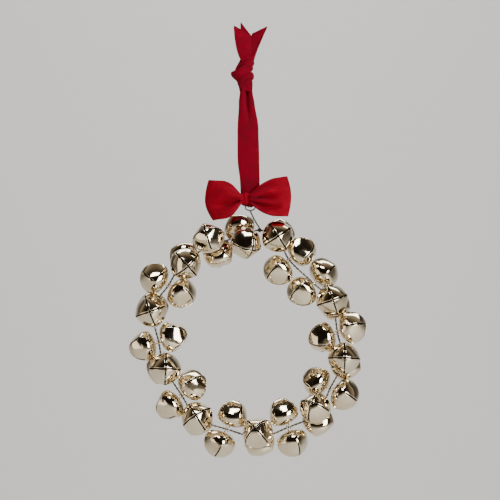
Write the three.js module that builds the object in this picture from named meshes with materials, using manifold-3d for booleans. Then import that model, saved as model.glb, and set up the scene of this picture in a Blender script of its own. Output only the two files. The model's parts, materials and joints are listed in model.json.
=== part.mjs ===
// A hanging wreath of jingle bells. A wire ring carries bells in back-to-back pairs, each swinging on its
// own small wire loop, and hangs by a twisted wire eye from a velvet ribbon with a knot and a bow.
// Millimetres, +Z up, the front faces -Y. The origin is the point that the ribbon loop hangs from.
import * as THREE from "three";
import { mergeVertices } from "three/addons/utils/BufferGeometryUtils.js";
import Module from "manifold-3d";

const wasm = await Module();
wasm.setup();

// ---- Driving dimensions ----
const GAP = 0.3; // clearance between pieces that touch
const CORE_WIRE_RADIUS = 0.55; // the ring that carries the bells
const CORE_WIRE_SIDES = 6;
const CORE_WIRE_STEPS = 126;

const BELL_RADIUS = 12.5; // the wreath grows with its bells
const BELL_FRONT_SHAPE = 0.928; // equator to the crossing of the slots, for a radius of 1
const BELL_BACK_SHAPE = 0.72; // equator to the flattened back, for a radius of 1
const BELL_WALL = 0.6;
const BELL_PROFILE = [-48, 0, 45]; // degrees above the equator of the rings of corners between the poles
const BACK_FULLNESS = 0.8; // below 1 makes the back fuller than an ellipse
const OUTER_FACETS = 12; // round a bell
const INNER_FACETS = 8;
const PETAL_FLATNESS = 0.65; // 0 leaves the front round, 1 makes it a four-sided vault
const SLOT_WIDTH = 1.1;
const SLOT_FOOT = 0.8; // where a slot starts, above the equator
const LOOP_WIRE_RADIUS = 0.45; // the small loop on a bell's back
const LOOP_PLAY = 0.45; // between a loop and the core wire
const LOOP_STRETCH = 0.65; // how much longer a loop is than it is wide
const LOOP_STAND = 0.1; // how far the loop's wire is centred above the back
const LOOP_WIRE_SIDES = 4;
const LOOP_STEPS = 6;
const PAIR_PITCH = 2; // between the two loops of a pair, along the wire

const PELLET_RADIUS = 2.6; // the loose steel ball in a bell
const PELLET_FLOOR = 0.79; // the faceted inside of a bell, at its nearest, as a share of its radius

const RIBBON_WIDTH = 16;
const RIBBON_THICKNESS = 1;
const RIBBON_SPREAD = 6; // open space between the two plies of the hanging loop
const LOOP_LENGTH = 84.5; // hang point to the inside of the ribbon's bottom fold
const LOOP_LEVELS = 12; // cross-sections along a ply
const FOLD_TURN = 30; // degrees between the corners of a fold
const KNOT_SIZE = new THREE.Vector3(8, 6, 12.8); // half its width, depth and height
const KNOT_CENTRE = new THREE.Vector3(-4, 0, 12.5);
const KNOT_TILT = -14; // degrees; the knot's top leans right
const KNOT_SIDES = 10;
const KNOT_RINGS = 8;
const TAIL_THICKNESS = 1.6;
const TAIL_FOOT = 20; // height of the tails' feet, inside the knot
const LEFT_TAIL_FRONT = -2;
const RIGHT_TAIL_FRONT = 0;

const EYE_WIRE_RADIUS = 0.5;
const EYE_WIRE_SIDES = 6;
const EYE_WIDTH = 7.2; // the ring that the ribbon passes through, between its wire's middles
const EYE_HEIGHT = 4.4;
const EYE_CENTRE_X = 1.3;
const EYE_CROWN = 0.5; // the oval's crown above the flat of the ribbon's fold
const EYE_STEPS = 20;
const STEM_BEND = 1; // how far the stem bows to the left
const STEM_STEPS = 6;
const COLLAR_STEPS = 12;
const EYE_DROP = 18.6; // the eye's top down to the circle that its station lies on
const OVAL_POINT_TURN = 30; // degrees between the points of the oval
const GATHER_WIDTH = 4.4; // the ribbon's width where it passes through the eye
const GATHER_SHARE = 0.575; // how much of the fold's depth is gathered

const BOW_CENTRE_X = -2.2;
const BOW_RISE = 5.3; // the bow's middle above the ribbon's fold
const BOW_LEFT = 29.5; // a wing's reach from the bow's middle
const BOW_RIGHT = 33.5;
const BOW_HEIGHT = 28.5; // a wing's outer end, along Z
const BOW_DEPTH = 9; // between a wing's outer faces
const BOW_PLY = 1.2;
const BOW_TILT = 0.05; // rise to the right
const BOW_FLARE = 0.85; // share of a wing's reach where it has its full height
const WAIST_HEIGHT = 6.3;
const WAIST_DEPTH = 3;
const WRAP_WIDTH = 8.5;
const WRAP_PLY = 1.2;

// Each station on the wire: how far round the wreath (degrees clockwise from the top), how far out and how
// far to the front the wire runs there (in bell radii), and its two bells. The station without bells carries
// the hanging eye. A bell's numbers are its face, lean and spin. face is where it points round the wire: 0 to
// the front, 90 out of the wreath, -90 into it, 180 to the back. lean tips it along the wire, and spin turns
// its slots.
const STATIONS = [
  { turn: -4, radius: 6, depth: -0.04, bells: [["front", -36, 14, 56], ["back", 142, -3, 80]] },
  { turn: 6, radius: 6.36, depth: 0.024, bells: [] },
  { turn: 16.5, radius: 6.12, depth: 0.08, bells: [["front", 2, -1, 79], ["back", 163, -12, 50]] },
  { turn: 28, radius: 5.16, depth: -0.04, bells: [["outer", 79, 5, 26], ["inner", -78, -1, 20]] },
  { turn: 50, radius: 5, depth: -0.08, bells: [["outer", 108, 8, 7], ["inner", -72, -11, 19]] },
  { turn: 67, radius: 5.36, depth: 0.08, bells: [["front", 2, -2, 83], ["back", 173, 12, 41]] },
  { turn: 87, radius: 5.28, depth: -0.08, bells: [["outer", 78, -4, 78], ["inner", -84, 4, 62]] },
  { turn: 104, radius: 5.76, depth: 0.08, bells: [["front", 0, -7, 6], ["back", 164, 12, 9]] },
  { turn: 122, radius: 5.72, depth: -0.12, bells: [["outer", 84, 4, 80], ["inner", -105, -3, 63]] },
  { turn: 138, radius: 6.08, depth: 0.12, bells: [["front", -28, -4, 29], ["back", 151, 12, 49]] },
  { turn: 156, radius: 5.84, depth: 0, bells: [["inner", -96, 4, 57], ["outer", 90, 1, 72]] },
  { turn: 174, radius: 5.96, depth: 0.08, bells: [["front", -25, 10, 40], ["back", 157, -7, 36]] },
  { turn: 193, radius: 5.6, depth: 0, bells: [["inner", -96, -1, 28], ["outer", 90, 7, 82]] },
  { turn: 212, radius: 5.68, depth: 0.08, bells: [["front", -8, 11, 69], ["back", 169, -12, 78]] },
  { turn: 229, radius: 5.24, depth: 0, bells: [["outer", 90, -3, 45], ["inner", -78, 5, 70]] },
  { turn: 250, radius: 5.28, depth: 0.08, bells: [["front", -5, 2, 65], ["back", 164, -8, 43]] },
  { turn: 267, radius: 5.32, depth: 0, bells: [["outer", 90, -1, 37], ["inner", -78, 5, 47]] },
  { turn: 286, radius: 5.88, depth: 0.08, bells: [["front", 3, -1, 29], ["back", 176, 3, 75]] },
  { turn: 303, radius: 5.64, depth: -0.08, bells: [["outer", 84, -1, 80], ["inner", -84, -4, 67]] },
  { turn: 320, radius: 5.88, depth: 0, bells: [["front", -13, 4, 0], ["back", 168, 2, 73]] },
  { turn: 339, radius: 5.8, depth: 0, bells: [["front", 37, 1, 83], ["back", -142, 1, 57]] },
];

// ---- Sizes that follow ----
const BELL_FRONT = BELL_FRONT_SHAPE * BELL_RADIUS;
const BELL_BACK = BELL_BACK_SHAPE * BELL_RADIUS;
const LOOP_RADIUS = CORE_WIRE_RADIUS + LOOP_PLAY + LOOP_WIRE_RADIUS;
const BELL_REACH = BELL_BACK + LOOP_STAND + LOOP_RADIUS + LOOP_STRETCH; // core wire to a bell's equator
const PELLET_REST = PELLET_FLOOR * (BELL_RADIUS - BELL_WALL) - PELLET_RADIUS; // below the bell's middle
const EYE_STATION = STATIONS.findIndex((station) => station.bells.length === 0);
const EYE_TOP = -LOOP_LENGTH + GAP + EYE_WIRE_RADIUS + EYE_CROWN; // it rests inside the ribbon's fold
const EYE_COLLAR_RADIUS = CORE_WIRE_RADIUS + LOOP_PLAY + EYE_WIRE_RADIUS; // its foot, round the core wire
const RING_DROP = EYE_DROP + STATIONS[EYE_STATION].radius * BELL_RADIUS - EYE_TOP; // the wreath's middle
const RIBBON_FACE = -RIBBON_SPREAD / 2 - RIBBON_THICKNESS; // the front of the hanging loop
const WRAP_DEPTH = WAIST_DEPTH + 2 * (GAP + WRAP_PLY);
const BOW_CENTRE_Y = RIBBON_FACE - GAP - WRAP_DEPTH / 2;
const BOW_CENTRE_Z = BOW_RISE - LOOP_LENGTH;
const FRONT = new THREE.Vector3(0, -1, 0);
const degrees = THREE.MathUtils.degToRad;

// ---- Materials ----
const metal = (color, roughness) => new THREE.MeshStandardMaterial({ color, roughness, metalness: 1 });
const bellMetal = metal(0xdccfae, 0.16);
const wireMetal = metal(0x6b6152, 0.4);
const pelletSteel = metal(0x9a9a98, 0.3);
const ribbonVelvet = new THREE.MeshStandardMaterial({ color: 0xa00018, roughness: 0.95, metalness: 0 });
const bowVelvet = new THREE.MeshStandardMaterial({ color: 0xbe0019, roughness: 0.95, metalness: 0 });

// ---- Helpers ----
function toSolid(geometry) {
  const bare = geometry.clone();
  bare.deleteAttribute("normal");
  bare.deleteAttribute("uv");
  const merged = mergeVertices(bare, 1e-4);
  const vertProperties = new Float32Array(merged.attributes.position.array);
  return new wasm.Manifold(
    new wasm.Mesh({ numProp: 3, vertProperties, triVerts: new Uint32Array(merged.index.array) }),
  );
}

function toGeometry(solid) {
  const mesh = solid.getMesh();
  const geometry = new THREE.BufferGeometry();
  geometry.setAttribute("position", new THREE.BufferAttribute(new Float32Array(mesh.vertProperties), 3));
  geometry.setIndex(new THREE.BufferAttribute(new Uint32Array(mesh.triVerts), 1));
  geometry.computeVertexNormals();
  return geometry;
}

function makeNode(name, geometry, material) {
  const mesh = new THREE.Mesh(geometry, material);
  mesh.name = name;
  return mesh;
}

// Moves every vertex of a geometry by a function of its place.
function warp(geometry, move) {
  const places = geometry.attributes.position;
  const point = new THREE.Vector3();
  for (let i = 0; i < places.count; i++) {
    point.fromBufferAttribute(places, i);
    move(point);
    places.setXYZ(i, point.x, point.y, point.z);
  }
  return geometry;
}

// ---- Bells ----
// One closed skin of a bell, inset from its outer surface: a round equator, a flattened back at -Z, and a
// front at +Z whose four petals bend flat between the slots.
function bellSkin(inset, facets) {
  const radius = BELL_RADIUS - inset;
  const front = BELL_FRONT - inset;
  const back = BELL_BACK - inset;
  const profile = [new THREE.Vector2(0, -back)];
  for (const angle of BELL_PROFILE) {
    const height = angle < 0 ? back : front;
    const out = Math.cos(degrees(angle)) ** (angle < 0 ? BACK_FULLNESS : 1);
    profile.push(new THREE.Vector2(radius * out, height * Math.sin(degrees(angle))));
  }
  profile.push(new THREE.Vector2(0, front));
  const skin = new THREE.LatheGeometry(profile, facets).rotateX(Math.PI / 2);
  return warp(skin, (point) => {
    if (point.z <= 0) return;
    const fromRidge = Math.atan2(point.y, point.x) % (Math.PI / 2);
    const fromMiddle = Math.abs(fromRidge) - Math.PI / 4;
    const pull = 1 - Math.SQRT1_2 / Math.cos(fromMiddle);
    const squareness = (PETAL_FLATNESS * point.z) / front;
    point.x *= 1 - squareness * pull;
    point.y *= 1 - squareness * pull;
  });
}

function slotCutter() {
  const size = 3 * BELL_RADIUS; // more than the bell
  const arm = new THREE.BoxGeometry(size, SLOT_WIDTH, size).translate(0, 0, SLOT_FOOT + size / 2);
  return toSolid(arm).add(toSolid(arm.clone().rotateZ(Math.PI / 2)));
}

const shell = toSolid(bellSkin(0, OUTER_FACETS))
  .subtract(toSolid(bellSkin(BELL_WALL, INNER_FACETS)))
  .subtract(slotCutter());

// A bell with its loop, in the frame of the core wire: X along the wire, +Z the way the bell points.
function bellGeometry(spin) {
  const turned = toSolid(toGeometry(shell).rotateZ(degrees(spin)).translate(0, 0, BELL_REACH));
  const loop = new THREE.TorusGeometry(LOOP_RADIUS, LOOP_WIRE_RADIUS, LOOP_WIRE_SIDES, LOOP_STEPS);
  warp(loop.rotateY(Math.PI / 2), (point) => {
    const isLevel = Math.abs(point.z) < LOOP_WIRE_RADIUS / 2;
    point.z += LOOP_STRETCH * (isLevel ? 0.5 : Math.sign(point.z) / 2 + 0.5);
  });
  return toGeometry(turned.add(toSolid(loop)));
}

// ---- Core wire ----
function stationPoint({ turn, radius, depth }) {
  const angle = degrees(turn);
  const point = new THREE.Vector3(radius * Math.sin(angle), -depth, radius * Math.cos(angle));
  return point.multiplyScalar(BELL_RADIUS);
}

const wirePoints = STATIONS.map(stationPoint);
const wireCurve = new THREE.CatmullRomCurve3(wirePoints, true, "catmullrom", 0.5);

function coreWire() {
  const tube = new THREE.TubeGeometry(wireCurve, CORE_WIRE_STEPS, CORE_WIRE_RADIUS, CORE_WIRE_SIDES, true);
  return makeNode("core_wire", toGeometry(toSolid(tube)), wireMetal);
}

// A station's own frame: X along the wire, Y out of the wreath, Z to the front.
function stationFrame(index) {
  const along = wireCurve.getTangent(index / STATIONS.length);
  const out = new THREE.Vector3().crossVectors(FRONT, along).normalize();
  const ahead = new THREE.Vector3().crossVectors(along, out);
  const frame = new THREE.Group();
  frame.setRotationFromMatrix(new THREE.Matrix4().makeBasis(along, out, ahead));
  frame.position.copy(wirePoints[index]);
  return frame;
}

function pairOfBells(index, number) {
  const frame = stationFrame(index);
  STATIONS[index].bells.forEach(([side, face, lean, spin], which) => {
    const bell = makeNode(`bell_${String(number).padStart(2, "0")}_${side}`, bellGeometry(spin), bellMetal);
    bell.position.x = (which - 0.5) * PAIR_PITCH;
    bell.rotation.set(-degrees(face), degrees(lean), 0, "XYZ");
    frame.add(bell);
  });
  return frame;
}

function stationFrames() {
  const withBells = [...STATIONS.keys()].filter((index) => index !== EYE_STATION);
  return withBells.map((index, count) => pairOfBells(index, count + 1));
}

// ---- Pellets ----
// The balls in the front-facing bells, each lying at the bottom of its bell.
function pelletsFor(frame) {
  const pellets = [];
  frame.updateMatrixWorld(true);
  for (const bell of frame.children) {
    if (!bell.name.endsWith("_front")) continue;
    const ball = new THREE.IcosahedronGeometry(PELLET_RADIUS, 1);
    const pellet = makeNode(bell.name.replace("bell", "pellet").replace("_front", ""), ball, pelletSteel);
    pellet.position.set(0, 0, BELL_REACH).applyMatrix4(bell.matrixWorld);
    pellet.position.z -= PELLET_REST;
    pellets.push(pellet);
  }
  return pellets;
}

// ---- Hanging eye ----
// The oval ring, the stem and the collar round the core wire are one twisted wire.
function hangingEye() {
  const halfHeight = EYE_HEIGHT / 2;
  const centreZ = EYE_TOP - halfHeight;
  const oval = [];
  for (let turn = 0; turn < 360; turn += OVAL_POINT_TURN) {
    const x = (EYE_WIDTH / 2) * Math.sin(degrees(turn));
    const z = halfHeight * Math.cos(degrees(turn));
    oval.push(new THREE.Vector3(EYE_CENTRE_X + x, 0, centreZ + z));
  }
  const ovalCurve = new THREE.CatmullRomCurve3(oval, true);
  const ring = toSolid(new THREE.TubeGeometry(ovalCurve, EYE_STEPS, EYE_WIRE_RADIUS, EYE_WIRE_SIDES, true));

  const foot = wirePoints[EYE_STATION].clone();
  foot.z -= RING_DROP;
  const collar = new THREE.TorusGeometry(EYE_COLLAR_RADIUS, EYE_WIRE_RADIUS, EYE_WIRE_SIDES, COLLAR_STEPS);
  collar.rotateY(Math.PI / 2).translate(foot.x, foot.y, foot.z);

  const start = new THREE.Vector3(EYE_CENTRE_X, 0, centreZ - halfHeight);
  const end = foot.clone();
  end.z += EYE_COLLAR_RADIUS;
  const bend = start.clone().lerp(end, 0.5);
  bend.x -= STEM_BEND;
  const stem = new THREE.ExtrudeGeometry(circleShape(EYE_WIRE_RADIUS, EYE_WIRE_SIDES), {
    steps: STEM_STEPS,
    bevelEnabled: false,
    extrudePath: new THREE.CatmullRomCurve3([start, bend, end]),
  });
  return makeNode("hanging_eye", toGeometry(ring.add(toSolid(stem)).add(toSolid(collar))), wireMetal);
}

function circleShape(radius, sides) {
  const shape = new THREE.Shape();
  for (let i = 0; i < sides; i++) {
    const angle = (2 * Math.PI * i) / sides;
    const go = i === 0 ? "moveTo" : "lineTo";
    shape[go](radius * Math.cos(angle), radius * Math.sin(angle));
  }
  return shape;
}

// ---- Hanger ribbon ----
// How wide the hanging ribbon is down the loop (both as shares), and how far its middle lies to the right.
const RIBBON_LEVELS = [
  { down: 0, width: 0.5625, middle: -1.5 },
  { down: 0.32, width: 0.95, middle: -0.3 },
  { down: 0.568, width: 1, middle: 0 },
  { down: 0.828, width: 0.875, middle: 1.2 },
  { down: 1, width: 0.8125, middle: EYE_CENTRE_X },
];

function ribbonAt(z) {
  const down = THREE.MathUtils.clamp(-z / LOOP_LENGTH, 0, 1);
  const next = Math.max(1, RIBBON_LEVELS.findIndex((level) => level.down >= down));
  const high = RIBBON_LEVELS[next - 1];
  const low = RIBBON_LEVELS[next];
  const share = (down - high.down) / (low.down - high.down);
  const mix = (key) => THREE.MathUtils.lerp(high[key], low[key], share);
  return { width: mix("width") * RIBBON_WIDTH, middle: mix("middle") };
}

// A loop seen from the side: two straight plies joined by half circles, as a list of points.
function racetrack(halfDepth) {
  const middleTop = -RIBBON_SPREAD / 2;
  const middleBottom = -LOOP_LENGTH + RIBBON_SPREAD / 2;
  const points = [];
  const halfCircle = (centre, from) => {
    for (let turn = 0; turn <= 180; turn += FOLD_TURN) {
      const angle = degrees(from + turn);
      points.push(new THREE.Vector2(halfDepth * Math.cos(angle), centre + halfDepth * Math.sin(angle)));
    }
  };
  const ply = (side, from, to) => {
    for (let level = 1; level < LOOP_LEVELS; level++) {
      points.push(new THREE.Vector2(side * halfDepth, THREE.MathUtils.lerp(from, to, level / LOOP_LEVELS)));
    }
  };
  halfCircle(middleTop, 0);
  ply(-1, middleTop, middleBottom);
  halfCircle(middleBottom, 180);
  ply(1, middleBottom, middleTop);
  return points;
}

function hangingLoop() {
  const side = new THREE.Shape(racetrack(-RIBBON_FACE));
  side.holes.push(new THREE.Path(racetrack(RIBBON_SPREAD / 2)));
  const band = new THREE.ExtrudeGeometry(side, { depth: 1, bevelEnabled: false });
  band.translate(0, 0, -0.5);
  const sideways = new THREE.Matrix4().makeBasis(
    new THREE.Vector3(0, 1, 0),
    new THREE.Vector3(0, 0, 1),
    new THREE.Vector3(1, 0, 0),
  );
  band.applyMatrix4(sideways);
  return warp(band, (point) => {
    const { width, middle } = ribbonAt(point.z);
    const isInFold = point.z < -LOOP_LENGTH + RIBBON_SPREAD / 2;
    const isInEye = isInFold && Math.abs(point.y) < -GATHER_SHARE * RIBBON_FACE;
    point.x = middle + point.x * (isInEye ? GATHER_WIDTH : width);
  });
}

// The tails' flat outlines, as [x, z] from the foot's left corner round to its left side. Each is notched.
const LEFT_TAIL = [
  [-4, TAIL_FOOT],
  [1, TAIL_FOOT],
  [0.4, 40],
  [-5.8, 52.5],
  [-6.5, 46],
  [-10.9, 49.4],
  [-7.5, 29],
];
const RIGHT_TAIL = [
  [-1, TAIL_FOOT],
  [2, TAIL_FOOT],
  [14.7, 49.5],
  [8, 45.5],
  [2.7, 43.7],
  [0.5, 30],
];

function tail(outline, front) {
  const shape = new THREE.Shape(outline.map(([x, z]) => new THREE.Vector2(x, z)));
  const strip = new THREE.ExtrudeGeometry(shape, { depth: TAIL_THICKNESS, bevelEnabled: false });
  return strip.rotateX(Math.PI / 2).translate(0, front + TAIL_THICKNESS, 0);
}

function hangerRibbon() {
  const knot = new THREE.SphereGeometry(1, KNOT_SIDES, KNOT_RINGS).rotateX(Math.PI / 2);
  knot.scale(KNOT_SIZE.x, KNOT_SIZE.y, KNOT_SIZE.z).rotateY(degrees(KNOT_TILT));
  knot.translate(KNOT_CENTRE.x, KNOT_CENTRE.y, KNOT_CENTRE.z);
  const left = toSolid(tail(LEFT_TAIL, LEFT_TAIL_FRONT));
  const right = toSolid(tail(RIGHT_TAIL, RIGHT_TAIL_FRONT));
  const solid = toSolid(hangingLoop()).add(toSolid(knot)).add(left).add(right);
  return makeNode("hanger_ribbon", toGeometry(solid), ribbonVelvet);
}

// ---- Bow ----
// Seen from above, a wing is a loop of ribbon: its outer face from the waist to the tip, as [share of the
// reach, share of the depth].
const WING_FACE = [
  [0.36, 0.6],
  [0.5, 0.92],
  [0.65, 1],
  [0.8, 0.9],
  [0.92, 0.6],
  [1, 0.2],
];

function wingFace(reach, inset) {
  const away = Math.sign(reach);
  return WING_FACE.map(([along, depth]) => {
    const x = reach * along - (along === 1 ? away * inset : 0);
    return new THREE.Vector2(x, (depth * BOW_DEPTH) / 2 - (along === 1 ? 0 : inset));
  });
}

const turnedOver = (points) => points.map(({ x, y }) => new THREE.Vector2(x, -y));

function bowWing(reach) {
  const waistEnd = Math.sign(reach) * (WRAP_WIDTH / 2 + GAP);
  const face = [new THREE.Vector2(waistEnd, WAIST_DEPTH / 2), ...wingFace(reach, 0)];
  const inner = wingFace(reach, BOW_PLY);
  const outline = new THREE.Shape([...turnedOver(face), ...face.slice().reverse()]);
  outline.holes.push(new THREE.Path([...inner, ...turnedOver(inner).reverse()]));
  const wing = new THREE.ExtrudeGeometry(outline, { depth: 1, bevelEnabled: false }).translate(0, 0, -0.5);
  warp(wing, (point) => {
    const flare = THREE.MathUtils.clamp((point.x - waistEnd) / (BOW_FLARE * reach - waistEnd), 0, 1);
    point.z *= THREE.MathUtils.lerp(WAIST_HEIGHT, BOW_HEIGHT, flare);
    point.z += BOW_TILT * point.x;
  });
  return toSolid(wing);
}

function bowRibbon() {
  // it runs into both wings
  const waist = new THREE.BoxGeometry(WRAP_WIDTH + 4 * GAP, WAIST_DEPTH, WAIST_HEIGHT);
  const solid = toSolid(waist).add(bowWing(BOW_RIGHT)).add(bowWing(-BOW_LEFT));
  const bow = makeNode("bow_ribbon", toGeometry(solid), bowVelvet);
  bow.position.set(BOW_CENTRE_X, BOW_CENTRE_Y, BOW_CENTRE_Z);
  return bow;
}

function rectangle(width, height) {
  const x = width / 2;
  const y = height / 2;
  return [[-x, -y], [x, -y], [x, y], [-x, y]].map((corner) => new THREE.Vector2(...corner));
}

// The short band round the bow's waist.
function bowWrap() {
  const height = WAIST_HEIGHT + 2 * (GAP + WRAP_PLY);
  const side = new THREE.Shape(rectangle(height, WRAP_DEPTH));
  side.holes.push(new THREE.Path(rectangle(height - 2 * WRAP_PLY, WRAP_DEPTH - 2 * WRAP_PLY)));
  const band = new THREE.ExtrudeGeometry(side, { depth: WRAP_WIDTH, bevelEnabled: false });
  band.translate(0, 0, -WRAP_WIDTH / 2).rotateY(Math.PI / 2);
  const wrap = makeNode("bow_wrap", toGeometry(toSolid(band)), bowVelvet);
  wrap.position.set(BOW_CENTRE_X, BOW_CENTRE_Y, BOW_CENTRE_Z);
  return wrap;
}

// ---- Assembly ----
const ornament = new THREE.Group();
const wreath = new THREE.Group();
wreath.position.z = -RING_DROP;
ornament.add(wreath);
wreath.add(coreWire());
for (const frame of stationFrames()) {
  wreath.add(frame, ...pelletsFor(frame));
}
ornament.add(hangingEye(), hangerRibbon(), bowRibbon(), bowWrap());

export default ornament;
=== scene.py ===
"""A hanging wreath of jingle bells with a velvet ribbon and bow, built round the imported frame."""
import json
import math

import bmesh
import bpy
from mathutils import Matrix, Vector


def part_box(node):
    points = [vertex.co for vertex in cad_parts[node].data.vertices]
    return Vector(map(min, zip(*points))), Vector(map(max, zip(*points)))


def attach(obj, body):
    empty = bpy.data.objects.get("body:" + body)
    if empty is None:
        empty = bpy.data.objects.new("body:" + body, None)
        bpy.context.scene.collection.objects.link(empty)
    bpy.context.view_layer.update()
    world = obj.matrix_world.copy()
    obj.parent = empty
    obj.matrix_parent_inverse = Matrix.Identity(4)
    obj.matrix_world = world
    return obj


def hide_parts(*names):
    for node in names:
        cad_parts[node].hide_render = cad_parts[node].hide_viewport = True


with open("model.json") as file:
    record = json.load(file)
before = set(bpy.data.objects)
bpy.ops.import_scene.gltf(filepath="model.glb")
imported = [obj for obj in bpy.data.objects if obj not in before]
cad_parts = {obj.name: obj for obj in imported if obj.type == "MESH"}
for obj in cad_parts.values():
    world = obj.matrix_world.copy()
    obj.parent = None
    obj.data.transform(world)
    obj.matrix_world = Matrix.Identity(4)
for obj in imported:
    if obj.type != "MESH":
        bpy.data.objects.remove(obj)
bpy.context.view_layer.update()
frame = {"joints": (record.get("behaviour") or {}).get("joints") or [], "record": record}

MM = 0.001
TAU = 2 * math.pi
JOINTS = {joint["name"]: joint for joint in frame["joints"]}
BODY_OF = {node: body for body, nodes in frame["record"]["behaviour"]["bodies"].items() for node in nodes}
FRONT = Vector((0, -1, 0))

# ---- Sizes, in millimetres, as in the CAD model ----
WIRE_RADIUS = 0.55
CORE_STRAND = 0.38
CORE_TWISTS = 84
BELL_RADIUS = 12.5
BELL_FRONT = 11.6
BELL_BACK = 9.0
BELL_WALL = 0.55
SHELL_SCALE = 0.98  # a round shell bulges past the CAD model's flats, so it is made this much smaller
BELL_REACH = 11.2  # core wire to equator
SLOT_HALF = 0.52
SLOT_FOOT = 0.9
GIRTH_SQUARENESS = 0.28  # 0 is a round equator, 1 a square one with its corners at the slots
LOOP_RADIUS = 1.45
LOOP_STRETCH = 0.65
LOOP_WIRE = 0.45
PAIR_PITCH = 2.0
PELLET_RADIUS = 2.6

# How each bell sits on the wire, in degrees: turned round the wire from the front, tipped along it, and
# how far its slots are turned. Each pair is in its order along the wire.
PAIRS = [
    {"front": (-36, 14, 56), "back": (142, -3, 80)},
    {"front": (2, -1, 79), "back": (163, -12, 50)},
    {"outer": (79, 5, 26), "inner": (-78, -1, 20)},
    {"outer": (108, 8, 7), "inner": (-72, -11, 19)},
    {"front": (2, -2, 83), "back": (173, 12, 41)},
    {"outer": (78, -4, 78), "inner": (-84, 4, 62)},
    {"front": (0, -7, 6), "back": (164, 12, 9)},
    {"outer": (84, 4, 80), "inner": (-105, -3, 63)},
    {"front": (-28, -4, 29), "back": (151, 12, 49)},
    {"inner": (-96, 4, 57), "outer": (90, 1, 72)},
    {"front": (-25, 10, 40), "back": (157, -7, 36)},
    {"inner": (-96, -1, 28), "outer": (90, 7, 82)},
    {"front": (-8, 11, 69), "back": (169, -12, 78)},
    {"outer": (90, -3, 45), "inner": (-78, 5, 70)},
    {"front": (-5, 2, 65), "back": (164, -8, 43)},
    {"outer": (90, -1, 37), "inner": (-78, 5, 47)},
    {"front": (3, -1, 29), "back": (176, 3, 75)},
    {"outer": (84, -1, 80), "inner": (-84, -4, 67)},
    {"front": (-13, 4, 0), "back": (168, 2, 73)},
    {"front": (37, 1, 83), "back": (-142, 1, 57)},
]


# ---- Mesh helpers ----
def mix(a, b, share):
    return a + (b - a) * share


def smooth(x):
    x = min(1.0, max(0.0, x))
    return x * x * (3 - 2 * x)


def curve_through(keys, x):
    """A smooth curve through (x, y) keys in rising x."""
    if x <= keys[0][0]:
        return keys[0][1]
    for (x0, y0), (x1, y1) in zip(keys, keys[1:]):
        if x <= x1:
            return mix(y0, y1, smooth((x - x0) / (x1 - x0)))
    return keys[-1][1]


def grid_faces(rows, cols, closed_rows=False, closed_cols=False):
    faces = []
    for i in range(rows if closed_rows else rows - 1):
        for j in range(cols if closed_cols else cols - 1):
            a, b = i, (i + 1) % rows
            c, d = j, (j + 1) % cols
            faces.append((a * cols + c, a * cols + d, b * cols + d, b * cols + c))
    return faces


def tube(points, radius, sides, closed=False):
    """A round tube along points, as vertices and faces. An open one has caps."""
    points = [Vector(p) for p in points]
    count = len(points)
    verts = []
    normal = None
    for i, p in enumerate(points):
        ahead = points[(i + 1) % count] if closed or i + 1 < count else p
        behind = points[i - 1] if closed or i else p
        along = (ahead - behind).normalized()
        if normal is None:
            normal = along.orthogonal().normalized()
        normal = (normal - along * normal.dot(along)).normalized()
        side = along.cross(normal)
        r = radius(i / (count - 1)) if callable(radius) else radius
        for k in range(sides):
            turn = TAU * k / sides
            verts.append(p + r * (math.cos(turn) * normal + math.sin(turn) * side))
    faces = grid_faces(count, sides, closed_rows=closed, closed_cols=True)
    if not closed:
        faces.append(tuple(reversed(range(sides))))
        faces.append(tuple(range((count - 1) * sides, count * sides)))
    return verts, faces


def join(*parts):
    """Several (vertices, faces) as one."""
    verts, faces = [], []
    for more_verts, more_faces in parts:
        start = len(verts)
        verts += [Vector(v) for v in more_verts]
        faces += [tuple(start + i for i in face) for face in more_faces]
    return verts, faces


def place(matrix, part):
    return [matrix @ Vector(v) for v in part[0]], part[1]


def make_piece(name, part, material, body, inside=None, inside_faces=()):
    """A smooth-shaded piece from vertices in millimetres, riding on a body."""
    mesh = bpy.data.meshes.new(name)
    mesh.from_pydata([Vector(v) * MM for v in part[0]], [], part[1])
    bm = bmesh.new()
    bm.from_mesh(mesh)
    bmesh.ops.recalc_face_normals(bm, faces=bm.faces)
    for face in bm.faces:
        face.smooth = True
    bm.to_mesh(mesh)
    bm.free()
    mesh.materials.append(material)
    if inside:
        mesh.materials.append(inside)
        for index in inside_faces:
            mesh.polygons[index].material_index = 1
    piece = bpy.data.objects.new(name, mesh)
    bpy.context.scene.collection.objects.link(piece)
    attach(piece, body)
    return piece


def apply_modifier(piece, kind, **settings):
    modifier = piece.modifiers.new(kind.title(), kind)
    for key, value in settings.items():
        setattr(modifier, key, value)
    graph = bpy.context.evaluated_depsgraph_get()
    mesh = bpy.data.meshes.new_from_object(piece.evaluated_get(graph), depsgraph=graph)
    piece.modifiers.clear()
    piece.data = mesh
    for polygon in mesh.polygons:
        polygon.use_smooth = True


# ---- Materials ----
def new_material(name):
    material = bpy.data.materials.new(name)
    material.use_nodes = True
    nodes = material.node_tree.nodes
    return material, nodes, material.node_tree.links, nodes["Principled BSDF"]


def texture(nodes, kind, **inputs):
    node = nodes.new(kind)
    for key, value in inputs.items():
        node.inputs[key.replace("_", " ")].default_value = value
    return node


def object_coordinates(nodes, links, *textures):
    coordinates = nodes.new("ShaderNodeTexCoord")
    for node in textures:
        links.new(coordinates.outputs["Object"], node.inputs["Vector"])


def ramp(nodes, links, source, stops):
    node = nodes.new("ShaderNodeValToRGB")
    elements = node.color_ramp.elements
    while len(elements) < len(stops):
        elements.new(0.5)
    for element, (position, color) in zip(elements, stops):
        element.position = position
        element.color = (*color, 1)
    links.new(source, node.inputs["Fac"])
    return node.outputs["Color"]


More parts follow.
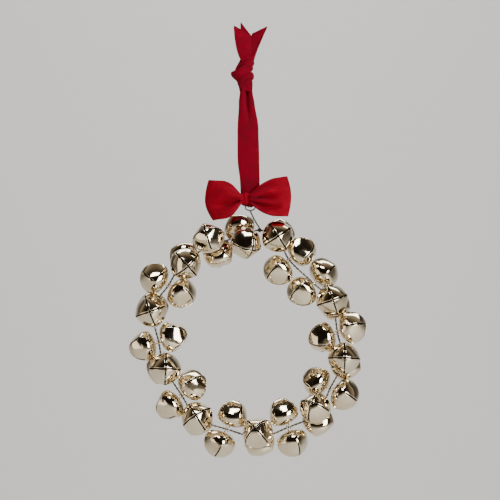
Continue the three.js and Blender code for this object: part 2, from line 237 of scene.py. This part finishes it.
def map_range(nodes, links, source, low, high):
    node = nodes.new("ShaderNodeMapRange")
    node.inputs["To Min"].default_value = low
    node.inputs["To Max"].default_value = high
    links.new(source, node.inputs["Value"])
    return node.outputs["Result"]


def polished_metal(name, light, dark, roughness, marks=0.006):
    """Plated sheet metal: slow tint changes, faint smudges, and fine scratches in the bump."""
    material, nodes, links, shader = new_material(name)
    shader.inputs["Metallic"].default_value = 1
    tint = texture(nodes, "ShaderNodeTexNoise", Scale=90, Detail=3)
    smudge = texture(nodes, "ShaderNodeTexNoise", Scale=260, Detail=6, Roughness=0.6)
    scratch = texture(nodes, "ShaderNodeTexNoise", Scale=2400, Detail=2)
    ripple = texture(nodes, "ShaderNodeTexNoise", Scale=120, Detail=1)
    object_coordinates(nodes, links, tint, smudge, scratch, ripple)
    plating = ramp(nodes, links, tint.outputs["Fac"], [(0.35, dark), (0.65, light)])
    links.new(plating, shader.inputs["Base Color"])
    low, high = roughness
    links.new(map_range(nodes, links, smudge.outputs["Fac"], low, high), shader.inputs["Roughness"])
    fine = nodes.new("ShaderNodeBump")
    fine.inputs["Strength"].default_value = marks
    fine.inputs["Distance"].default_value = 0.0001
    links.new(scratch.outputs["Fac"], fine.inputs["Height"])
    broad = nodes.new("ShaderNodeBump")
    broad.inputs["Strength"].default_value = 0.03
    broad.inputs["Distance"].default_value = 0.0006
    links.new(ripple.outputs["Fac"], broad.inputs["Height"])
    links.new(broad.outputs["Normal"], fine.inputs["Normal"])
    links.new(fine.outputs["Normal"], shader.inputs["Normal"])
    return material


def velvet(name, deep, bright):
    """Velvet: a pile that shows nap patches, a fine grain and a soft sheen."""
    material, nodes, links, shader = new_material(name)
    nap = texture(nodes, "ShaderNodeTexNoise", Scale=140, Detail=4, Roughness=0.6)
    pile = texture(nodes, "ShaderNodeTexNoise", Scale=3200, Detail=2)
    weave = texture(nodes, "ShaderNodeTexVoronoi", Scale=2600)
    object_coordinates(nodes, links, nap, pile, weave)
    blend = nodes.new("ShaderNodeMath")
    blend.operation = "MULTIPLY_ADD"
    blend.inputs[1].default_value = 0.35
    links.new(pile.outputs["Fac"], blend.inputs[0])
    links.new(nap.outputs["Fac"], blend.inputs[2])
    color = ramp(nodes, links, blend.outputs["Value"], [(0.45, deep), (0.95, bright)])
    links.new(color, shader.inputs["Base Color"])
    links.new(map_range(nodes, links, nap.outputs["Fac"], 0.8, 1.0), shader.inputs["Roughness"])
    shader.inputs["Specular IOR Level"].default_value = 0.15
    shader.inputs["Sheen Weight"].default_value = 0.22
    shader.inputs["Sheen Roughness"].default_value = 0.35
    shader.inputs["Sheen Tint"].default_value = (1, 0.08, 0.2, 1)
    bump = nodes.new("ShaderNodeBump")
    bump.inputs["Strength"].default_value = 0.5
    bump.inputs["Distance"].default_value = 0.0003
    links.new(weave.outputs["Distance"], bump.inputs["Height"])
    links.new(bump.outputs["Normal"], shader.inputs["Normal"])
    return material


BELL_METAL = polished_metal("champagne_plate", (0.84, 0.74, 0.57), (0.74, 0.62, 0.43), (0.05, 0.12))
# The shells' inside faces: their very dark brown colour is painted shade for the closed hollow, while their
# rougher, duller finish is the inside's own.
INSIDE_SHADE_METAL = polished_metal("painted_shade_inside", (0.12, 0.085, 0.05), (0.06, 0.04, 0.022), (0.4, 0.6), marks=0.1)
WIRE_METAL = polished_metal("annealed_wire", (0.22, 0.19, 0.15), (0.10, 0.085, 0.06), (0.3, 0.5), marks=0.2)
PELLET_STEEL = polished_metal(
    "tumbled_steel", (0.50, 0.50, 0.49), (0.38, 0.38, 0.38), (0.2, 0.35), marks=0.1)
RIBBON_VELVET = velvet("crimson_velvet", (0.13, 0.0, 0.006), (0.23, 0.0, 0.011))
BOW_VELVET = velvet("red_velvet", (0.17, 0.0, 0.006), (0.31, 0.0, 0.012))


# ---- Camera ----
MM_PER_PX = 0.74  # the photograph's scale
VIEW_WIDTH = 500 * MM_PER_PX * MM
VIEW_CENTRE = Vector((1.2, 0, -116.9)) * MM
LENS = 135.0


def make_camera():
    data = bpy.data.cameras.new("camera")
    data.lens = LENS
    data.sensor_width = 36
    camera = bpy.data.objects.new("camera", data)
    bpy.context.scene.collection.objects.link(camera)
    camera.location = VIEW_CENTRE + FRONT * VIEW_WIDTH * LENS / 36
    camera.rotation_euler = (math.radians(90), 0, 0)
    data.clip_end = 100
    bpy.context.scene.camera = camera


# ---- Bells ----
def meridian(angle):
    """Radius and height of the bell's round outline at an elevation angle, in degrees from the equator."""
    c, s = math.cos(math.radians(angle)), math.sin(math.radians(angle))
    if angle >= 0:
        return BELL_RADIUS * c, BELL_FRONT * s
    return BELL_RADIUS * c**0.8, BELL_BACK * s


def skin_point(radius, height, turn, press=0.0):
    """A point of the bell's skin. The front's petals are bent flat between the slots."""
    if height > 0:
        squareness = mix(GIRTH_SQUARENESS, 1, (height / BELL_FRONT) ** 0.6)
    else:
        squareness = GIRTH_SQUARENESS * smooth(1 + height / 6)
    from_middle = turn % (math.pi / 2) - math.pi / 4
    radius *= 1 - squareness * (1 - math.sqrt(0.5) / math.cos(from_middle))
    point = Vector((radius * math.cos(turn), radius * math.sin(turn), height))
    inward = Vector((point.x / BELL_RADIUS, point.y / BELL_RADIUS, height / BELL_FRONT))
    return point - press * inward.normalized()


# Across a petal: distance from the slot's edge, and how far the rolled lip turns in there.
LIP = [(0.0, 0.42), (0.14, 0.2), (0.34, 0.06), (0.7, 0.0)]
PETAL_COLUMNS = 14
BACK_ANGLES = [-87, -78, -68, -58, -48, -38, -29, -20, -12, -5]
FRONT_ANGLES = [1.5, 3.4, 4.4, 5.2, 7, 11, 17, 24, 31, 38, 45, 52, 58, 64, 69, 74, 78, 81, 83.5, 85.5]


def petal_turns(radius):
    """The turns of one petal's columns, from slot edge to slot edge, each with its lip's press."""
    columns = []
    for distance, press in LIP:
        columns.append((math.asin(min(1, SLOT_HALF / radius)) + distance / radius, press))
    inner = columns[-1][0]
    columns = [(min(turn, math.pi / 4), press) for turn, press in columns]
    for k in range(1, PETAL_COLUMNS):
        share = k / PETAL_COLUMNS
        turn = mix(inner, math.pi / 2 - inner, share) if inner < math.pi / 4 else math.pi / 4
        columns.append((turn, 0.0))
    return columns + [(math.pi / 2 - turn, press) for turn, press in reversed(columns[: len(LIP)])]


def bell_shell():
    """The slotted sheet-metal shell, equator at the origin, pointing along +Z, as an open skin."""
    angles = BACK_ANGLES + FRONT_ANGLES
    verts, cols = [], 0
    foot_rows = 0
    for angle in angles:
        radius, height = meridian(angle)
        if height < SLOT_FOOT:
            foot_rows += 1
        row = []
        for quarter in range(4):
            for turn, press in petal_turns(max(radius, 1e-6) if angle > 0 else BELL_RADIUS):
                rolled = press * smooth((height - SLOT_FOOT * 0.6) / 1.2)
                row.append(skin_point(radius, height, turn + quarter * math.pi / 2, rolled))
        cols = len(row)
        verts += row
    per_petal = cols // 4
    faces = []
    for i in range(len(angles) - 1):
        for j in range(cols):
            crosses_slot = (j + 1) % per_petal == 0
            if crosses_slot and i + 1 >= foot_rows:
                continue
            k = (j + 1) % cols
            faces.append((i * cols + j, i * cols + k, (i + 1) * cols + k, (i + 1) * cols + j))
    verts.append(Vector((0, 0, -BELL_BACK)))
    for j in range(cols):
        faces.append((len(verts) - 1, (j + 1) % cols, j))
    return verts, faces


def thicken(part, wall):
    """Gives an open skin its sheet thickness, inwards, and tells which faces are the inner ones."""
    mesh = bpy.data.meshes.new("shell")
    mesh.from_pydata(part[0], [], part[1])
    shell = bpy.data.objects.new("shell", mesh)
    bpy.context.scene.collection.objects.link(shell)
    bm = bmesh.new()
    bm.from_mesh(mesh)
    bmesh.ops.remove_doubles(bm, verts=bm.verts, dist=1e-4)
    bmesh.ops.dissolve_degenerate(bm, dist=1e-4, edges=bm.edges)
    bmesh.ops.recalc_face_normals(bm, faces=bm.faces)
    bm.to_mesh(mesh)
    bm.free()
    apply_modifier(shell, "SOLIDIFY", thickness=wall, offset=-1)
    verts = [v.co.copy() for v in shell.data.vertices]
    faces = [tuple(p.vertices) for p in shell.data.polygons]
    bpy.data.objects.remove(shell)
    outer = len(verts) // 2
    inner_faces = [i for i, face in enumerate(faces) if min(face) >= outer]
    return (verts, faces), inner_faces


def bell_loop():
    """The oval wire loop round the core wire, which runs along X at the origin."""
    points = []
    for k in range(28):
        turn = TAU * k / 28
        y, z = LOOP_RADIUS * math.sin(turn), LOOP_RADIUS * math.cos(turn)
        points.append((0, y, z + LOOP_STRETCH * smooth(0.5 + z / LOOP_RADIUS)))
    return tube(points, LOOP_WIRE, 10, closed=True)


def ball(radius, rings=14, sides=22):
    verts = [Vector((0, 0, radius)), Vector((0, 0, -radius))]
    for i in range(1, rings):
        tilt = math.pi * i / rings
        for k in range(sides):
            turn = TAU * k / sides
            out = radius * math.sin(tilt)
            verts.append(Vector((out * math.cos(turn), out * math.sin(turn), radius * math.cos(tilt))))
    faces = [tuple(i + 2 for i in face) for face in grid_faces(rings - 1, sides, closed_cols=True)]
    last = 2 + (rings - 2) * sides
    for k in range(sides):
        faces.append((0, 2 + k, 2 + (k + 1) % sides))
        faces.append((1, last + (k + 1) % sides, last + k))
    return verts, faces


def station_frame(joint):
    """The core wire's frame at a bell's joint: X along the wire, Y out of the wreath, Z to the front."""
    along = Vector(joint["axis"]).normalized()
    out = FRONT.cross(along).normalized()
    ahead = along.cross(out)
    matrix = Matrix((along, out, ahead)).transposed().to_4x4()
    return Matrix.Translation(Vector(joint["pos_m"]) / MM) @ matrix


def pellet_rest(axis):
    """How far below a bell's middle its pellet rests, by how steeply the bell points up or down."""
    depth = BELL_FRONT if axis.z < 0 else BELL_BACK
    slope = math.sqrt(max(0.0, 1 - axis.z**2))
    wall = 1 / math.hypot(slope / (BELL_RADIUS - BELL_WALL), axis.z / (depth - BELL_WALL))
    return 0.94 * wall - PELLET_RADIUS - 0.3


def make_bells():
    shell, inner_faces = thicken(bell_shell(), BELL_WALL)
    shell = place(Matrix.Scale(SHELL_SCALE, 4), shell)
    loop = bell_loop()
    for number, pair in enumerate(PAIRS, 1):
        for order, (side, (face, lean, spin)) in enumerate(pair.items()):
            node = f"bell_{number:02d}_{side}"
            joint = JOINTS[node + "_swing"]
            seat = station_frame(joint) @ Matrix.Translation(((order - 0.5) * PAIR_PITCH, 0, 0))
            seat = seat @ Matrix.Rotation(-math.radians(face), 4, "X")
            seat = seat @ Matrix.Rotation(math.radians(lean), 4, "Y")
            middle = seat @ Matrix.Translation((0, 0, BELL_REACH))
            turned = middle @ Matrix.Rotation(math.radians(spin), 4, "Z")
            part = join(place(turned, shell), place(seat, loop))
            # The inner faces take the inside material, whose dark colour is painted shade.
            bell = make_piece(
                f"{node}_fine", part, BELL_METAL, BODY_OF[node], INSIDE_SHADE_METAL, inner_faces)
            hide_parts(node)
            make_pellet(number, side, middle)


def make_pellet(number, side, middle):
    node = f"pellet_{number:02d}"
    name = f"pellet_{number:02d}_{side}_fine"
    if side == "front":
        low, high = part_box(node)
        centre = (low + high) / 2 / MM
        body = BODY_OF[node]
    else:
        axis = middle.to_3x3() @ Vector((0, 0, 1))
        centre = middle.translation - Vector((0, 0, pellet_rest(axis)))
        body = BODY_OF[f"bell_{number:02d}_{side}"]
    part = place(Matrix.Translation(centre), ball(PELLET_RADIUS))
    pellet = make_piece(name, part, PELLET_STEEL, body)
    if side == "front":
        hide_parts(node)


# ---- Core wire and hanging eye ----
def wire_points(steps=8):
    """The closed line of the core wire, through each station and the eye's foot, in order."""
    stations = {}
    for name, joint in JOINTS.items():
        if name.startswith("bell_") or name == "wreath_tilt":
            stations[name[:7]] = Vector(joint["pos_m"]) / MM
    middle = sum(stations.values(), Vector()) / len(stations)
    ring = sorted(stations.values(), key=lambda p: math.atan2(p.x - middle.x, p.z - middle.z))
    points = []
    count = len(ring)
    for i in range(count):
        p0, p1, p2, p3 = (ring[(i + k) % count] for k in (-1, 0, 1, 2))
        for step in range(steps):
            t = step / steps
            a = 2 * p1 + (p2 - p0) * t
            b = (2 * p0 - 5 * p1 + 4 * p2 - p3) * t * t
            c = (3 * p1 - p0 - 3 * p2 + p3) * t**3
            points.append((a + b + c) / 2)
    return points


def make_core_wire():
    """Two strands twisted together all the way round."""
    path = wire_points()
    count = len(path)
    strands = []
    for phase in (0, math.pi):
        points = []
        for i, centre in enumerate(path):
            for step in range(4):
                share = (i + step / 4) / count
                along = (path[(i + 1) % count] - centre).normalized()
                at = centre.lerp(path[(i + 1) % count], step / 4)
                side = along.cross(FRONT).normalized()
                turn = TAU * CORE_TWISTS * share + phase
                points.append(at + CORE_STRAND * (math.cos(turn) * side + math.sin(turn) * FRONT))
        strands.append(tube(points, CORE_STRAND, 8, closed=True))
    piece = make_piece("core_wire_fine", join(*strands), WIRE_METAL, "wreath")
    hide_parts("core_wire")


EYE_STRAND = 0.34
EYE_OVAL = (3.6, 2.2)  # half its width and height, to the wire's middle


def twisted(path, turns, offset, phase):
    """One strand wound round a path."""
    points = []
    count = 90
    for k in range(count + 1):
        share = k / count
        at = share * (len(path) - 1)
        i = min(int(at), len(path) - 2)
        along = (path[i + 1] - path[i]).normalized()
        centre = path[i].lerp(path[i + 1], at - i)
        side = along.cross(FRONT).normalized()
        turn = TAU * turns * share + phase
        points.append(centre + offset * (math.cos(turn) * side + math.sin(turn) * FRONT))
    return points


def make_eye():
    """Two wire ends twisted together, opened into the oval that the ribbon passes through."""
    _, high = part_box("hanging_eye")
    crown = high.z / MM - 0.5
    centre = Vector((Vector(JOINTS["eye_swing"]["pos_m"]).x / MM, 0, crown - EYE_OVAL[1]))
    foot = Vector(JOINTS["wreath_tilt"]["pos_m"]) / MM
    oval = []
    for k in range(40):
        turn = TAU * k / 40
        oval.append(centre + Vector((EYE_OVAL[0] * math.sin(turn), 0, EYE_OVAL[1] * math.cos(turn))))
    start = centre - Vector((0, 0, EYE_OVAL[1]))
    end = foot + Vector((0, 0, WIRE_RADIUS + 1.0))
    bend = start.lerp(end, 0.5) - Vector((1, 0, 0))
    stem = [start.lerp(bend, t / 12).lerp(bend.lerp(end, t / 12), t / 12) for t in range(13)]
    parts = [tube(oval, 0.48, 12, closed=True)]
    for phase in (0, math.pi):
        parts.append(tube(twisted(stem, 4.5, 0.3, phase), EYE_STRAND, 8))
    collar = []
    for k in range(97):
        turn = TAU * 3 * k / 96 + math.pi / 2
        radius = WIRE_RADIUS + 0.32 + EYE_STRAND
        around = Vector((mix(-1.0, 1.0, k / 96), -radius * math.cos(turn), radius * math.sin(turn)))
        collar.append(foot + around)
    parts.append(tube(collar, EYE_STRAND, 8))
    piece = make_piece("hanging_eye_fine", join(*parts), WIRE_METAL, "eye")
    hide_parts("hanging_eye")


# ---- Velvet ----
def cloth(name, rows, material, body, thickness, closed_rows=False, closed_cols=False, levels=1):
    """A sheet from rows of points, smoothed and given its thickness."""
    cols = len(rows[0])
    part = ([p for row in rows for p in row], grid_faces(len(rows), cols, closed_rows, closed_cols))
    piece = make_piece(name, part, material, body)
    apply_modifier(piece, "SUBSURF", levels=levels, render_levels=levels)
    apply_modifier(piece, "SOLIDIFY", thickness=thickness * MM, offset=0)
    return piece


def join_pieces(pieces):
    """Several pieces of one ribbon as one piece."""
    first = pieces[0]
    bm = bmesh.new()
    for piece in pieces:
        bm.from_mesh(piece.data)
    bm.to_mesh(first.data)
    bm.free()
    for piece in pieces[1:]:
        bpy.data.objects.remove(piece)
    return first


RIBBON_WIDTH = 16.0
LOOP_BOTTOM = -84.9  # middle of the cloth at the fold
LOOP_HALF_DEPTH = 3.5
GATHER_WIDTH = 4.4

LOOP_WIDTHS = [(-84.5, 13.0), (-78, 13.4), (-70, 14.2), (-48, 16.0), (-27, 15.4), (-8, 11.4), (0, 8.8)]
LOOP_MIDDLES = [(-84.5, 1.3), (-70, 1.2), (-48, 0.0), (-27, -0.3), (0, -1.6)]


def loop_path():
    """The hanging loop's side view, up the back and down the front, as (y, z) with its share of the way."""
    points = []
    straight = 26
    top, low = 3.0, LOOP_BOTTOM + LOOP_HALF_DEPTH
    for k in range(straight):
        points.append((-LOOP_HALF_DEPTH, mix(top, low, k / straight)))
    for k in range(13):
        turn = math.pi * k / 12
        points.append((-LOOP_HALF_DEPTH * math.cos(turn), low - LOOP_HALF_DEPTH * math.sin(turn)))
    for k in range(1, straight + 1):
        points.append((LOOP_HALF_DEPTH, mix(low, top, k / straight)))
    return points


def hanging_loop():
    rows = []
    columns = 17
    for y, z in loop_path():
        width = curve_through(LOOP_WIDTHS, z)
        middle = curve_through(LOOP_MIDDLES, z)
        in_eye = 0.0
        if z < LOOP_BOTTOM + LOOP_HALF_DEPTH:
            in_eye = 1 - smooth((abs(y) - 1.4) / 1.6)
            width = mix(width, GATHER_WIDTH, in_eye)
        converge = smooth((z + 14) / 14)
        depth = y * mix(1, 0.55, converge)
        slack = 1 - width / RIBBON_WIDTH
        row = []
        for k in range(columns):
            across = k / (columns - 1) - 0.5
            pleat = math.sin(across * TAU * 1.5 + (0.7 if y < 0 else -0.4)) * 2.2 * max(0, slack - 0.08)
            pleat *= 1 - in_eye
            gather = 0.5 * math.cos(across * TAU * 2.5) * in_eye
            curl = -0.9 * (1 - 4 * across * across) * (1 - slack) * (1 if y < 0 else -1)
            if y < 0:
                under_knot = smooth((z + 26) / 20)
                curl += 3.2 * under_knot * math.exp(-((across - 0.05 * (1 - under_knot)) / 0.13) ** 2)
            sway = 0.45 * math.sin(z * 0.11 + across * 2.0)
            away = depth + (pleat + curl + sway) * (1 - in_eye)
            row.append(Vector((middle + across * width, away, z + gather)))
        rows.append(row)
    return cloth("hanger_loop", rows, RIBBON_VELVET, "hanger", 0.7)


def band_ring(centre, radii, tilt, lean, width, thick, ridges, seed):
    """A plump folded band wrapped round the knot: an oval ring with a creased, flattened section."""
    rows = []
    steps, around = 40, 20
    turn_to = Matrix.Rotation(math.radians(tilt), 3, "Y") @ Matrix.Rotation(math.radians(lean), 3, "X")
    for i in range(steps):
        turn = TAU * i / steps
        out = Vector((math.cos(turn), math.sin(turn), 0))
        swell = 1 + 0.14 * math.sin(turn * 2 + seed) + 0.08 * math.sin(turn * 3 - seed)
        row = []
        for k in range(around):
            angle = TAU * k / around
            w = math.cos(angle) * width * swell
            t = math.sin(angle) * thick
            t += 0.32 * math.cos(ridges * angle + seed + turn * 0.8) * abs(math.sin(angle)) ** 0.5
            ring = Vector((out.x * radii[0], out.y * radii[1], 0))
            row.append(Vector(centre) + turn_to @ (ring + out * t + Vector((0, 0, w))))
        rows.append(row)
    return rows


def knot():
    """An overhand knot: a gathered core with two creased bands wrapped round it, rising to the right."""
    core = []
    for i in range(24):
        share = i / 23
        z = mix(0.5, 27, share)
        half = curve_through([(0, 4.2), (0.3, 5.4), (0.6, 5.6), (1, 4.4)], share)
        middle = curve_through([(0, -1.8), (0.5, -4.0), (1, -0.2)], share)
        row = []
        for k in range(24):
            turn = TAU * k / 24
            fold = 1 + 0.16 * math.sin(5 * turn + share * 5)
            width, depth = half * fold * math.cos(turn), 0.72 * half * fold * math.sin(turn)
            row.append(Vector((middle + width, depth, z)))
        core.append(row)
    pieces = [cloth("knot_core", core, RIBBON_VELVET, "hanger", 0.5, closed_cols=True)]
    bands = [
        ((-4.6, -0.2, 15.4), (6.9, 4.9), -38, 14, 4.1, 1.6, 3, 0.6),
        ((-2.2, -0.4, 10.2), (5.2, 4.4), -30, -16, 3.3, 1.5, 3, 2.1),
        ((-1.6, -0.3, 20.4), (4.7, 4.3), -24, 10, 2.6, 1.3, 2, 3.4),
    ]
    for number, values in enumerate(bands):
        rows = band_ring(*values)
        name = f"knot_band_{number}"
        cols = len(rows[0])
        part = ([p for row in rows for p in row], grid_faces(len(rows), cols, True, True))
        piece = make_piece(name, part, RIBBON_VELVET, "hanger")
        apply_modifier(piece, "SUBSURF", levels=1, render_levels=1)
        pieces.append(piece)
    return pieces


def bent_path(points, share):
    """A point on a three-point path, rounded at its middle."""
    first, middle, last = (Vector(p) for p in points)
    turn = 2 * middle - (first + last) / 2
    return first.lerp(turn, share).lerp(turn.lerp(last, share), share)


def tail(name, front_edge, fold, back_edge):
    """A ribbon end folded in half lengthwise, with its notched tip: two edges that rise past the fold."""
    rows = []
    length, half = 16, 7
    for i in range(length + 1):
        share = i / length
        front, crease, back = (bent_path(path, share) for path in (front_edge, fold, back_edge))
        row = []
        for edge, steps in ((front, range(half, 0, -1)), (back, range(half + 1))):
            for k in steps:
                out = k / half
                point = crease.lerp(edge, out)
                round_over = (crease.y - edge.y) * 0.35 * math.sin(out * math.pi)
                point.y -= round_over
                point.y += 0.35 * math.sin(out * 5 + share * 6)
                row.append(point)
        rows.append(row)
    return cloth(name, rows, RIBBON_VELVET, "hanger", 0.7)


LEFT_TAIL = [
    [(-3.4, -2.4, 20), (-8.6, -2.9, 31), (-10.9, -2.6, 49.2)],
    [(2.2, -1.6, 20), (2.4, -1.2, 31), (2.2, -0.8, 41.6)],
    [(-2.5, 0.8, 20), (-5.0, 0.8, 34), (-5.9, 0.9, 52.4)],
]
RIGHT_TAIL = [
    [(2.0, 1.0, 20), (4.4, 0.6, 32), (12.6, 0.2, 48.0)],
    [(-1.6, 1.4, 20), (-0.8, 1.6, 32), (2.8, 1.6, 43.4)],
    [(3.4, 2.8, 20), (7.0, 3.2, 32), (14.6, 3.2, 49.4)],
]


def make_hanger():
    pieces = [hanging_loop()] + knot()
    pieces.append(tail("tail_left", *LEFT_TAIL))
    pieces.append(tail("tail_right", *RIGHT_TAIL))
    hanger = join_pieces(pieces)
    hanger.name = "hanger_ribbon_fine"
    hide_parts("hanger_ribbon")


# ---- Bow ----
def bow_centre():
    low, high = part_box("bow_wrap")
    return (low + high) / 2 / MM


WING_ROWS = 22
WING_COLUMNS = 29
BOW_WIDTH = 30.0
WAIST_X = 3.2
# How far a wing spreads at each distance from the bow's middle.
LEFT_SPREAD = [(3.2, 6.0), (4.6, 8.2), (8.7, 18.0), (12.7, 24.4), (17.0, 27.6), (29.5, 29.8)]
RIGHT_SPREAD = [(3.2, 6.0), (4.8, 8.4), (10.0, 16.6), (14.4, 22.0), (21.5, 27.4), (33.5, 29.6)]


def straight_through(keys, x):
    for (x0, y0), (x1, y1) in zip(keys, keys[1:]):
        if x <= x1:
            return mix(y0, y1, max(0.0, (x - x0) / (x1 - x0)))
    return keys[-1][1]


def pleat(across, spread, share, seed):
    """Pleats run out from the waist, deep where the ribbon is gathered, and fade towards the wing's end."""
    slack = max(0.0, (BOW_WIDTH / spread) ** 2 - 1)
    depth = min(0.17 * spread * math.sqrt(slack / 2), 2.1) * (1 - 0.85 * smooth((share - 0.45) / 0.5))
    depth += 0.9 * smooth(share / 0.3) * (1 - smooth((share - 0.6) / 0.4))
    place = across + 0.10 * math.sin(across * 5 + seed)
    return depth * math.sin(place * TAU * 2.3 + seed)


def wing_surface(reach, keys, lift, tuck, seed):
    """A wing is one loop of ribbon: out along its front, round the end and back along its rear."""
    away = 1 if reach > 0 else -1
    reach = abs(reach)
    rows = []
    for i in range(2 * WING_ROWS + 1):
        share = i / WING_ROWS
        side = 1 if share > 1 else -1
        out = 1 - abs(1 - share)
        row = []
        for k in range(WING_COLUMNS):
            across = k / (WING_COLUMNS - 1) - 0.5
            corner = (2 * abs(across)) ** 1.8
            end = reach * (1 - (tuck if across < 0 else 0.09) * corner)
            distance = mix(WAIST_X, end, math.sin(out * math.pi / 2) ** 0.92)
            spread = straight_through(keys, distance * reach / end)
            z = across * spread + lift * distance / reach
            swell = math.sin(min(1.0, distance / reach) * math.pi) ** 0.7
            half = mix(1.0, 4.4, swell) * math.cos(across * 1.1)
            turn_in = (distance / end - 0.8) / 0.2
            if turn_in > 0:
                half *= math.sqrt(max(0.0, 1 - turn_in**2))
            y = side * half + pleat(across, spread, distance / reach, seed + (1.3 if side > 0 else 0))
            row.append(Vector((away * distance, y, z)))
        rows.append(row)
    return rows


def make_bow():
    centre = bow_centre()
    pieces = []
    for name, *values in (
        ("bow_left", -29.5, LEFT_SPREAD, -1.2, 0.20, 2.4),
        ("bow_right", 33.5, RIGHT_SPREAD, 2.0, 0.07, 0.6),
    ):
        rows = [[centre + p for p in row] for row in wing_surface(*values)]
        pieces.append(cloth(name, rows, BOW_VELVET, "hanger", 0.7))
    bow = join_pieces(pieces)
    bow.name = "bow_ribbon_fine"
    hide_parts("bow_ribbon")


def make_wrap():
    """The short band round the bow's waist, pulled in by its folds."""
    low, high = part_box("bow_wrap")
    centre = bow_centre()
    half_depth, half_height = (high.y - low.y) / 2 / MM, (high.z - low.z) / 2 / MM
    half_width = (high.x - low.x) / 2 / MM
    rows = []
    steps, columns = 32, 13
    for i in range(steps):
        turn = TAU * i / steps
        row = []
        for k in range(columns):
            across = k / (columns - 1) - 0.5
            crease = 0.35 * math.cos(across * TAU * 2.5 + 0.5 * math.sin(turn))
            pinch = 0.9 + 0.1 * math.cos(across * TAU)
            c, s = math.cos(turn), math.sin(turn)
            square = (abs(c) ** 4 + abs(s) ** 4) ** -0.25
            y = -(half_depth - 0.5 + crease * 0.6) * c * square
            z = (half_height * pinch - 0.4 + crease * 0.5) * s * square
            x = across * 2 * half_width * (0.92 + 0.08 * abs(s))
            row.append(centre + Vector((x, y, z)))
        rows.append(row)
    wrap = cloth("bow_wrap_fine", rows, BOW_VELVET, "hanger", 0.7, closed_rows=True)
    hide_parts("bow_wrap")


# ---- Studio ----
def area_light(name, place_at, size, power, color=(1, 1, 1)):
    data = bpy.data.lights.new(name, "AREA")
    data.shape = "RECTANGLE"
    data.size, data.size_y = size
    data.energy = power
    data.color = color
    light = bpy.data.objects.new(name, data)
    bpy.context.scene.collection.objects.link(light)
    light.location = place_at
    light.rotation_euler = (VIEW_CENTRE - Vector(place_at)).to_track_quat("-Z", "Y").to_euler()
    return light


FLOOR_Z = -0.7


def make_studio():
    profile = [(-7.0, FLOOR_Z)]
    for k in range(13):
        turn = math.pi / 2 * k / 12
        profile.append((1.6 + 1.4 * math.sin(turn), FLOOR_Z + 1.4 * (1 - math.cos(turn))))
    profile.append((3.0, 6.0))
    mesh = bpy.data.meshes.new("sweep")
    verts = [(x, y, z) for y, z in profile for x in (-8, 8)]
    mesh.from_pydata(verts, [], grid_faces(len(profile), 2))
    for polygon in mesh.polygons:
        polygon.use_smooth = True
    sweep = bpy.data.objects.new("sweep", mesh)
    bpy.context.scene.collection.objects.link(sweep)
    material, nodes, links, shader = new_material("pale_sweep")
    shader.inputs["Base Color"].default_value = (0.80, 0.79, 0.76, 1)
    shader.inputs["Roughness"].default_value = 0.9
    mesh.materials.append(material)

    area_light("key", (0.9, -1.15, 0.10), (0.7, 0.95), 26)
    area_light("cream", (-1.35, -0.55, -0.45), (0.9, 1.1), 5, (1, 0.90, 0.76))
    area_light("top", (-0.1, -0.75, 1.15), (0.5, 0.4), 9)
    area_light("sweep_light", (0, 1.3, 1.9), (2.4, 1.0), 60).rotation_euler = (math.radians(35), 0, 0)

    world = bpy.data.worlds.new("studio")
    bpy.context.scene.world = world
    world.use_nodes = True
    nodes, links = world.node_tree.nodes, world.node_tree.links
    coordinates = nodes.new("ShaderNodeTexCoord")
    split = nodes.new("ShaderNodeSeparateXYZ")
    links.new(coordinates.outputs["Generated"], split.inputs["Vector"])
    half = nodes.new("ShaderNodeMapRange")
    half.inputs["From Min"].default_value = -1
    links.new(split.outputs["Y"], half.inputs["Value"])
    tone = ramp(nodes, links, half.outputs["Result"], [
        (0.22, (0.010, 0.008, 0.006)),
        (0.40, (0.045, 0.034, 0.022)),
        (0.52, (0.16, 0.125, 0.085)),
        (0.70, (0.40, 0.35, 0.27)),
    ])
    seen = nodes.new("ShaderNodeLightPath")
    choose = nodes.new("ShaderNodeMix")
    choose.data_type = "RGBA"
    links.new(seen.outputs["Is Camera Ray"], choose.inputs["Factor"])
    links.new(tone, choose.inputs[6])
    choose.inputs[7].default_value = (0.62, 0.61, 0.59, 1)
    links.new(choose.outputs[2], nodes["Background"].inputs["Color"])


make_camera()
make_bells()
make_core_wire()
make_eye()
make_hanger()
make_bow()
make_wrap()
make_studio()
